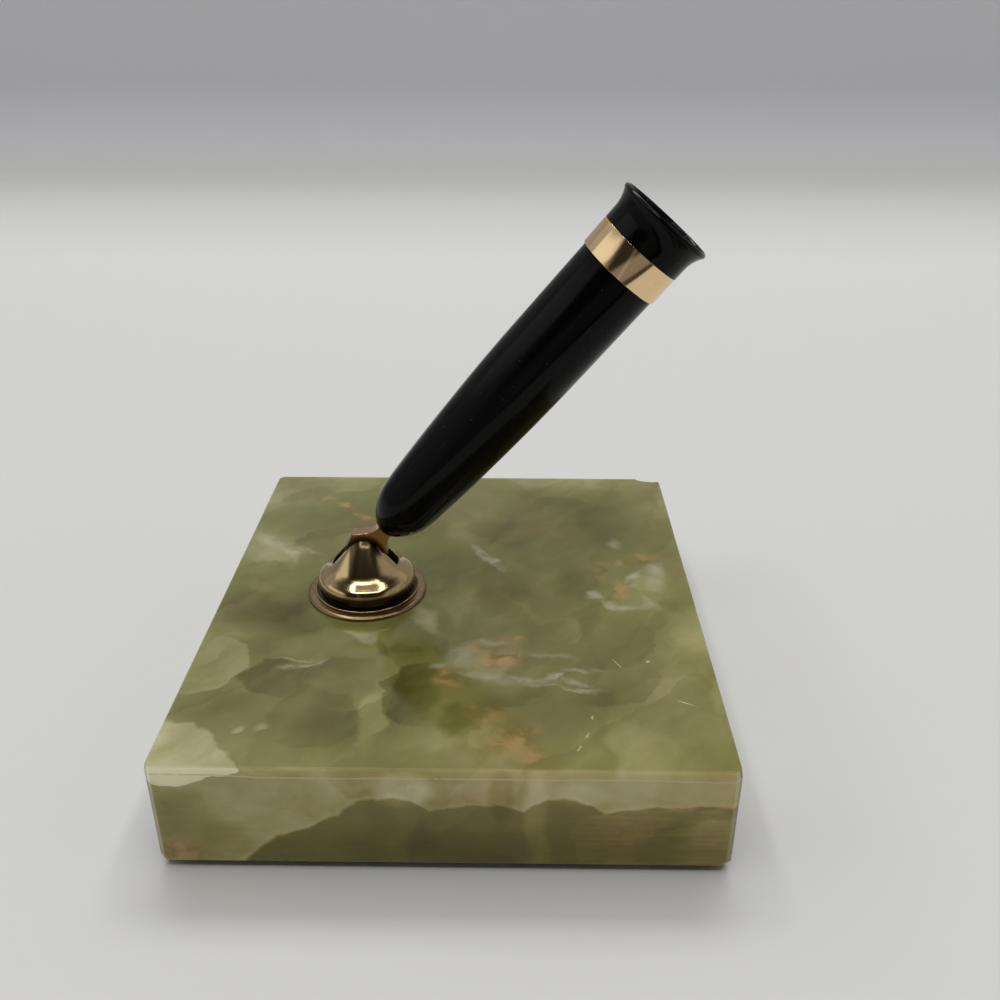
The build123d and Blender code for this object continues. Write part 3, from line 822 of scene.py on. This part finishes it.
def frontRise(point):
    # the front chamfer is shallower at its left end
    if point.y > slabLow.y + slab["frontReach"] * mm:
        return 0
    share = (slab["riseFrom"] * mm - point.x) / ((slab["riseFrom"] - slab["riseTo"]) * mm)
    return slab["rise"] * mm * min(max(share, 0), 1)


def nearRim(point):
    inset = (slab["topInset"] + slab["rimSlack"]) * mm
    return abs(point.x) > slabHigh.x - inset or abs(point.y) > slabHigh.y - inset


def slabCutters():
    bm = bmesh.new()
    for chip in chips:
        made = bmesh.ops.create_icosphere(bm, subdivisions=chipShape["detail"], radius=1.0)["verts"]
        for vert in made:
            lump = noise.noise(vert.co * chipShape["grain"] + Vector(chip["in"]).to_3d())
            vert.co *= 1 + chipShape["roughness"] * lump
        bmesh.ops.scale(bm, verts=made, vec=Vector(chip["size"]) * mm)
        sides = zip(chip["side"], slabHigh, chip["in"])
        place = [side * (edge - inset * mm) for side, edge, inset in sides]
        bmesh.ops.translate(bm, verts=made, vec=(*place, deck - chip["drop"] * mm))
    under = Vector((mountPoint.x, mountPoint.y, slabLow.z)) - upright * mm
    rodInto(bm, under, upright, slab["recessDepth"] + 1, slab["recessRadius"], 96)
    rodInto(bm, under, upright, (deck - slabLow.z) / mm + 2, slab["boreRadius"], 64)
    return bm


makeSlab()

# Felt pad, cut by hand and a little fuzzy at its edge
pad = {"cornerRadius": 2.0, "cell": 1.2, "fray": 0.22, "frayLength": 1.6, "trim": 0.7, "edge": 0.25}


def feltFinish():
    web = newWeb("darkFelt")
    spot = web.spot()
    fibre = web.clouds(web.warp(spot, scale=0.8, reach=2.0), scale=3.2, detail=5.0, rough=0.7)
    matted = web.clouds(spot, scale=0.25, detail=3.0, rough=0.6)
    share = fibre * 0.7 + matted * 0.3
    colour = web.shades(share, [(0.3, tint(22, 19, 14)), (0.55, tint(44, 38, 28)), (0.8, tint(78, 70, 54))])
    return web.surface(Base_Color=colour, Roughness=0.95, Sheen_Weight=0.35, Sheen_Roughness=0.5,
                       Normal=web.bump(fibre, depth=0.0003))


def makePad():
    low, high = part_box("felt_pad")
    bm = block(low, high)
    corners = [e for e in bm.edges if abs((e.verts[0].co - e.verts[1].co).z) > mm]
    roundEdges(bm, corners, pad["cornerRadius"], 6)
    cutGrid(bm, low, high, pad["cell"] * mm)
    for vert in bm.verts:  # the edge wavers inwards only
        if max(abs(vert.co.x) - high.x, abs(vert.co.y) - high.y) > -pad["cornerRadius"] * mm:
            sway = (noise.noise(vert.co / (pad["frayLength"] * mm)) - pad["trim"]) * pad["fray"] * mm
            vert.co.xy = vert.co.xy * (1 + sway / vert.co.xy.length)
    roundEdges(bm, edgesOver(bm, 60), pad["edge"], 2)
    piece = makePiece("feltPad", bm, "base", [feltFinish()], ["felt_pad"], 60)


makePad()


# Metals: each is turned, so its fine lines run round the axis that it is made on
def turnedMetal(name, at, turn, look, paintedShade=None):
    web = newWeb(name)
    spot = web.spot(at, turn)
    radius = web.reach(spot)
    height = web.part(spot, 2)
    rings = web.node("ShaderNodeCombineXYZ", {}, {0: radius * ringScale, 1: height * ringScale, 2: 0.0})
    line = web.clouds(rings, scale=1.0, detail=2.0, rough=0.6)
    bent = web.warp(spot, scale=0.3, reach=2.0)
    cloud = web.clouds(bent, scale=look["cloudScale"], detail=4.0, rough=0.6)
    dust = web.clouds(spot, scale=2.4, detail=3.0, rough=0.7)
    stain = web.ease(cloud * 0.75 + dust * 0.25, look["stainFrom"], look["stainTo"])
    colour = web.blend(stain, tint(*look["bright"]), tint(*look["dull"]))
    # painted shade, darker and duller, where a piece gives a mask for it
    if paintedShade:
        paintedShadeShare = paintedShade(web, spot, dust)
        colour = web.blend(paintedShadeShare * 0.9, colour, tint(*paintedShadeColour))
        stain = stain + paintedShadeShare
    rough = look["roughness"] + stain * look["dulling"] + line * 0.05 + dust * 0.04
    relief = web.bump(line * 0.6 + dust * look["pitting"], look["depth"])
    return web.surface(Base_Color=colour, Metallic=1.0, Roughness=rough, Normal=relief)


# the colour of painted shade
paintedShadeColour = (40, 28, 22)
ringScale = 14.0  # of the lines that the lathe leaves
metals = {
    "brass": {"bright": (194, 171, 126), "dull": (132, 106, 72), "roughness": 0.07, "dulling": 0.12,
              "cloudScale": 0.16, "stainFrom": 0.48, "stainTo": 0.78, "pitting": 0.5, "depth": 0.000008},
    "agedBrass": {"bright": (148, 124, 92), "dull": (108, 86, 62), "roughness": 0.24, "dulling": 0.12,
                  "cloudScale": 0.22, "stainFrom": 0.44, "stainTo": 0.74, "pitting": 0.3, "depth": 0.000004},
    "roseBrass": {"bright": (204, 162, 126), "dull": (106, 82, 58), "roughness": 0.14, "dulling": 0.14,
                  "cloudScale": 0.22, "stainFrom": 0.48, "stainTo": 0.80, "pitting": 0.5, "depth": 0.000008},
    # a darker copy of brass, painted shade for the yoke inside the bell's slot
    "shadedBrass": {"bright": (74, 58, 42), "dull": (46, 34, 24), "roughness": 0.3, "dulling": 0.2,
                  "cloudScale": 0.22, "stainFrom": 0.44, "stainTo": 0.74, "pitting": 0.6, "depth": 0.00001},
    "gold": {"bright": (236, 206, 160), "dull": (196, 150, 104), "roughness": 0.05, "dulling": 0.08,
             "cloudScale": 0.14, "stainFrom": 0.55, "stainTo": 0.85, "pitting": 0.4, "depth": 0.000004},
    "steel": {"bright": (176, 176, 174), "dull": (96, 90, 82), "roughness": 0.30, "dulling": 0.2,
              "cloudScale": 0.3, "stainFrom": 0.45, "stainTo": 0.75, "pitting": 0.8, "depth": 0.00002},
}
onMount = {"at": mountPoint, "turn": (0, 0, 0)}
onSocket = {"at": hingePoint, "turn": (0, lean, 0)}


def fibreFinish():
    web = newWeb("redFibre")
    spot = web.spot()
    fibre = web.clouds(web.vec("MULTIPLY", spot, (1.0, 1.0, 6.0)), scale=1.2, detail=5.0, rough=0.7)
    colour = web.shades(fibre, [(0.3, tint(86, 42, 30)), (0.7, tint(132, 72, 52))])
    return web.surface(Base_Color=colour, Roughness=0.7 + fibre * 0.15, Normal=web.bump(fibre, depth=0.00005))


# Flange on the slab, a disc with a sloping rim; radii and heights over the deck
flange = {"bore": 4.03, "radius": 12.75, "thickness": 0.8, "rimHeight": 0.5, "rimSlope": 0.5}


def makeFlange():
    outline = [(flange["bore"], 0), (flange["radius"], 0), (flange["radius"], flange["rimHeight"], 0.2),
               (flange["radius"] - flange["rimSlope"], flange["thickness"], 0.15),
               (flange["bore"], flange["thickness"])]
    finish = turnedMetal("agedBrassFlange", look=metals["agedBrass"], **onMount)
    bm = lathe(outline, mountPoint, upright, 160)
    makePiece("flangePlate", bm, "base", [finish], ["flange_plate"])


makeFlange()

# Bell, a turned shell with a slot for the tongue, over a lip; radii and heights over the deck
bell = {"domeRadius": 4.4, "domeCentre": 9.0, "domeEdge": 40, "domeSteps": 8, "neck": (7.8, 6.4, 0.9),
        "shoulder": (11.0, 4.3, 1.7), "waist": (9.75, 1.55, 0.15), "foot": (9.75, 1.1), "wall": 0.7,
        "lip": [(9.3, 0.95), (11.05, 0.95, 0.08), (11.1, 1.28, 0.12), (9.9, 1.45), (9.3, 1.45)],
        "slotWidth": 3.3, "slotFloor": 7.4, "slotMerge": 0.03, "arris": 0.24, "sides": 120}
# where the bell's painted shade and painted dark reflection lie
bellShadeReach = {  # from where to where each kind fades in
    "groove": (4.2, 3.6), "grooveRim": (10.98, 10.86), "slotSide": (1.80, 1.68), "slotFoot": (-0.3, -0.1),
    "crownSide": (3.3, 2.5), "crownFoot": (6.2, 7.0), "crown": 0.9,
}


def makeBell():
    radius, steps = bell["domeRadius"], bell["domeSteps"]
    turns = [math.radians(90 - (90 - bell["domeEdge"]) * i / steps) for i in range(steps + 1)]
    outline = [(radius * math.cos(a), bell["domeCentre"] + radius * math.sin(a)) for a in turns]
    outline += [bell[key] for key in ("neck", "shoulder", "waist", "foot")]
    bm = lathe(outline, mountPoint, upright, bell["sides"], closed=False)
    cutSlot(bm)
    bmesh.ops.recalc_face_normals(bm, faces=bm.faces)
    if sum(f.normal.dot(f.calc_center_median() - mountPoint) for f in bm.faces) < 0:
        bmesh.ops.reverse_faces(bm, faces=bm.faces)
    bm.normal_update()
    rim = [v for v in bm.verts if v.is_boundary and v.co.z > mountPoint.z + bell["shoulder"][1] * mm]
    for vert, normal in [(v, v.normal.copy()) for v in rim]:  # the slot's edge is eased
        vert.co -= normal * 0.5 * bell["arris"] * mm
    bmesh.ops.solidify(bm, geom=bm.faces[:], thickness=bell["wall"] * mm)
    lip = bpy.data.meshes.new("lip")
    ring = lathe(bell["lip"], mountPoint, upright, bell["sides"])
    ring.to_mesh(lip)
    ring.free()
    bm.from_mesh(lip)
    finish = turnedMetal("brassBell", look=metals["brass"], paintedShade=bellPaintedShade, **onMount)
    makePiece("bellCover", bm, "swivel", [finish], ["bell_cover"], 50)


def bellPaintedShade(web, spot, dust):
    # painted shade in the groove over the lip and in the slot, and a painted dark reflection on the front and
    # back of the crown
    aside, across, height = [web.part(spot, i) for i in range(3)]
    rim = web.ease(web.reach(spot), *bellShadeReach["grooveRim"])
    groove = web.ease(height + dust * 0.3, *bellShadeReach["groove"]) * rim
    slotFoot = [bell["slotFloor"] + more for more in bellShadeReach["slotFoot"]]
    slot = web.ease(abs(across), *bellShadeReach["slotSide"]) * web.ease(height, *slotFoot)
    crown = web.ease(abs(aside), *bellShadeReach["crownSide"]) * web.ease(height, *bellShadeReach["crownFoot"])
    crown = crown * bellShadeReach["crown"]
    return groove.calc("MAXIMUM", slot).calc("MAXIMUM", crown)


def cutSlot(bm):
    half = bell["slotWidth"] / 2
    cuts = []
    for more in (0, bell["arris"]):  # a second cut beside each, for the eased edge
        cuts += [(mountPoint + crosswise * side * (half + more) * mm, crosswise) for side in (-1, 1)]
        cuts += [(mountPoint + upright * (bell["slotFloor"] - more) * mm, upright)]
    for point, normal in cuts:
        cutAt(bm, point, normal, bell["slotMerge"] * mm)
    slot = []
    for face in bm.faces:
        spot = (face.calc_center_median() - mountPoint) / mm
        if abs(spot.y) < half and spot.z > bell["slotFloor"]:
            slot.append(face)
    bmesh.ops.delete(bm, geom=slot, context="FACES")


makeBell()

# Tongue, a flat plate on the hinge pin with a tang into the socket; across and along from the hinge
tongue = {"thickness": 3.0, "disc": 4.2, "corner": (4.95, 1.75), "shoulder": (3.3, 3.6), "neck": (1.6, 7.0),
          "tangRadius": 1.3, "tangEnd": 19.4, "pinHole": 1.06, "holeLength": 10, "arris": 0.1,
          "paintedShade": (5.6, 4.4), "steps": 24, "neckSteps": 10}


def hingePaintedShade(web, spot, dust):
    # painted shade round the hinge, where the tongue sits deep in the bell's slot
    return web.ease(web.reach(spot, (1, 0, 1)) + dust, *tongue["paintedShade"])


def makeTongue():
    disc, steps = tongue["disc"], tongue["steps"]
    turns = [-math.pi / 2 * (1 - i / steps) for i in range(steps + 1)]
    side = [(disc * math.cos(a), disc * math.sin(a)) for a in turns] + [tongue["corner"]]
    side += swoop(tongue["neck"], tongue["shoulder"], tongue["neckSteps"])[::-1]
    outline = side + [(-x, y) for x, y in side[:0:-1]]
    across = crosswise.cross(socketAxis)
    bm = bmesh.new()
    near = hingePoint - crosswise * tongue["thickness"] / 2 * mm
    verts = [bm.verts.new(near + (across * x + socketAxis * y) * mm) for x, y in outline]
    plate = bm.faces.new(verts)
    grown = bmesh.ops.extrude_face_region(bm, geom=[plate])["geom"]
    far = [g for g in grown if isinstance(g, bmesh.types.BMVert)]
    bmesh.ops.translate(bm, verts=far, vec=crosswise * tongue["thickness"] * mm)
    bmesh.ops.recalc_face_normals(bm, faces=bm.faces)
    roundEdges(bm, edgesOver(bm, 60), tongue["arris"], 2)
    neck = tongue["neck"][1]
    start = hingePoint + socketAxis * neck * mm
    rodInto(bm, start, socketAxis, tongue["tangEnd"] - neck, tongue["tangRadius"])
    finish = turnedMetal("roseBrassTongue", look=metals["roseBrass"], paintedShade=hingePaintedShade, **onSocket)
    piece = makePiece("tonguePlate", bm, "socket", [finish], ["tongue"], 22)
    hole = bmesh.new()
    length = tongue["holeLength"]
    rodInto(hole, hingePoint - crosswise * length / 2 * mm, crosswise, length, tongue["pinHole"])
    carve(piece, hole, 22)


makeTongue()

# Black gloss, with the faint scuffs of use; places are measured along the socket from its hinge
gloss = {"black": (6, 6, 6), "scuffed": (120, 118, 112), "rubbed": (150, 148, 142),
         "mouth": (89.6, 91.6), "rim": (9.9, 8.9)}  # where the rim is rubbed, along and across


def blackFinish(name, dulling, sheen):
    web = newWeb(name)
    spot = web.spot(**onSocket)
    hair = web.clouds(web.vec("MULTIPLY", spot, (1.0, 1.0, 0.05)), scale=2.2, detail=3.0, rough=0.6)
    scuff = web.ease(hair, 0.66, 0.80)
    smear = web.clouds(spot, scale=0.11, detail=4.0, rough=0.6)
    specks = web.ease(web.specks(spot, scale=0.45), 0.07, 0.03)
    scratch = web.clouds(web.vec("MULTIPLY", spot, (1.0, 1.0, 0.4)), scale=1.5, detail=4.0, rough=0.7)
    worn = web.ease(web.part(spot, 2), *gloss["mouth"]) * web.ease(scratch, 0.60, 0.72)
    worn = worn * web.ease(web.reach(spot), *gloss["rim"])
    colour = web.blend(worn * 0.55, tint(*gloss["black"]), tint(*gloss["rubbed"]))
    colour = web.blend(scuff * 0.10 + specks * 0.25, colour, tint(*gloss["scuffed"]))
    rough = dulling + web.ease(smear, 0.42, 0.72) * 0.09 + scuff * 0.2 + worn * 0.3
    return web.surface(Base_Color=colour, Roughness=rough, IOR=1.46, Specular_IOR_Level=sheen,
                       Normal=web.bump(smear + hair * 0.04, depth=0.00004))


# Socket body, a tapered turned shell; radii and distances from the hinge
body = {"outside": [(2.0, 7.0), (5.6, 11.7), (6.7, 17.5), (7.98, 40.8), (8.33, 58.0)], "noseWay": (4.9, 3.2),
        "steps": 9, "top": 78.8, "topEdge": 0.12, "collarFit": 7.43, "sleeveTop": 71.5, "sleeveFit": 6.63,
        "sleeveBase": 40.0, "seat": 5.43, "pocketTop": 20.5, "pocket": 3.9, "floor": 16.0, "tangFit": 1.33}


def makeBody(finish):
    outline = flow(body["outside"], body["noseWay"], (0, 1), body["steps"])
    outline += [(body["outside"][-1][0], body["top"], body["topEdge"]), (body["collarFit"], body["top"]),
                (body["collarFit"], body["sleeveTop"]), (body["sleeveFit"], body["sleeveTop"]),
                (body["sleeveFit"], body["sleeveBase"]), (body["seat"], body["sleeveBase"]),
                (body["pocket"], body["pocketTop"]), (body["pocket"], body["floor"]),
                (body["tangFit"], body["floor"]), (body["tangFit"], body["outside"][0][1])]
    bm = lathe(outline, hingePoint, socketAxis)
    makePiece("socketBody", bm, "socket", [finish], ["socket_body"])


# Gold band between the body and the mouth
band = {"radius": 8.7, "bore": 7.43, "low": 78.8, "high": 84.8, "edge": 0.04}


def makeBand():
    outline = [(band["bore"], band["low"]), (band["radius"], band["low"], band["edge"]),
               (band["radius"], band["high"], band["edge"]), (band["bore"], band["high"])]
    finish = turnedMetal("goldBandMetal", look=metals["gold"], **onSocket)
    bm = lathe(outline, hingePoint, socketAxis, 192)
    makePiece("goldBand", bm, "socket", [finish], ["gold_band"])


# Mouth ring, a collar with a flared lip
mouthRing = {"throat": 6.2, "throatEnd": 82.4, "collar": 7.4, "collarLow": 71.5, "low": 84.8, "straight": 2.4,
             "radius": 8.7, "lowEdge": 0.1, "rim": [(9.9, 91.0), (9.86, 91.4), (9.52, 91.72), (9.0, 91.3)],
             "rimWays": ((0.3, 1), (-0.4, -1)), "dustFrom": 8.95}


def makeMouth(finish):
    m = mouthRing
    outline = [(m["throat"], m["collarLow"]), (m["collar"], m["collarLow"]), (m["collar"], m["low"]),
               (m["radius"], m["low"], m["lowEdge"])]
    outline += swoop((m["radius"], m["low"] + m["straight"]), m["rim"][0], 14)
    outline += flow(m["rim"], *m["rimWays"], 5)[1:]
    outline += swoop((m["throat"], m["throatEnd"]), m["rim"][-1], 18)[::-1][1:]
    bm = lathe(outline, hingePoint, socketAxis, 160)
    finishes = [finish, blackFinish("blackInside", dulling=0.4, sheen=0.05)]
    piece = makePiece("mouthFlare", bm, "socket", finishes, ["mouth_ring"])
    for face in piece.data.polygons:  # the bore is dusty
        out = face.center - hingePoint
        out -= socketAxis * out.dot(socketAxis)
        if face.normal.dot(out) < 0 and out.length < m["dustFrom"] * mm:
            face.material_index = 1


black = blackFinish("blackGloss", dulling=0.09, sheen=0.13)
makeBody(black)
makeBand()
makeMouth(black)

# Pieces that keep their CAD shape: the hardware inside the mount and the socket
keptNodes = {
    "brass": ["mount_stud", "clamp_nut"],
    # the yoke's darker brass is painted shade
    "dark": ["yoke"],
    "steel": ["clamp_washer", "swivel_spindle", "spring_washer", "thrust_washer", "adjusting_nut", "jam_nut",
              "hinge_pin"],
    "fibre": ["fibre_washer", "friction_washer"],
    "onSocketBrass": ["tang_nut", "tang_washer"],
    "black": ["inner_sleeve"],
}


def dressKept():
    finishes = {
        "brass": turnedMetal("brassMount", look=metals["brass"], **onMount),
        "steel": turnedMetal("steelMount", look=metals["steel"], **onMount),
        "onSocketBrass": turnedMetal("brassTang", look=metals["brass"], **onSocket),
        "dark": turnedMetal("shadedBrassMount", look=metals["shadedBrass"], **onMount),
        "fibre": fibreFinish(),
        "black": black,
    }
    for kind, names in keptNodes.items():
        for name in names:
            for slot in cadNodes[name].material_slots:
                slot.material = finishes[kind]


dressKept()
print("kept nodes dressed")

bpy.context.scene.view_settings.view_transform = "Standard"
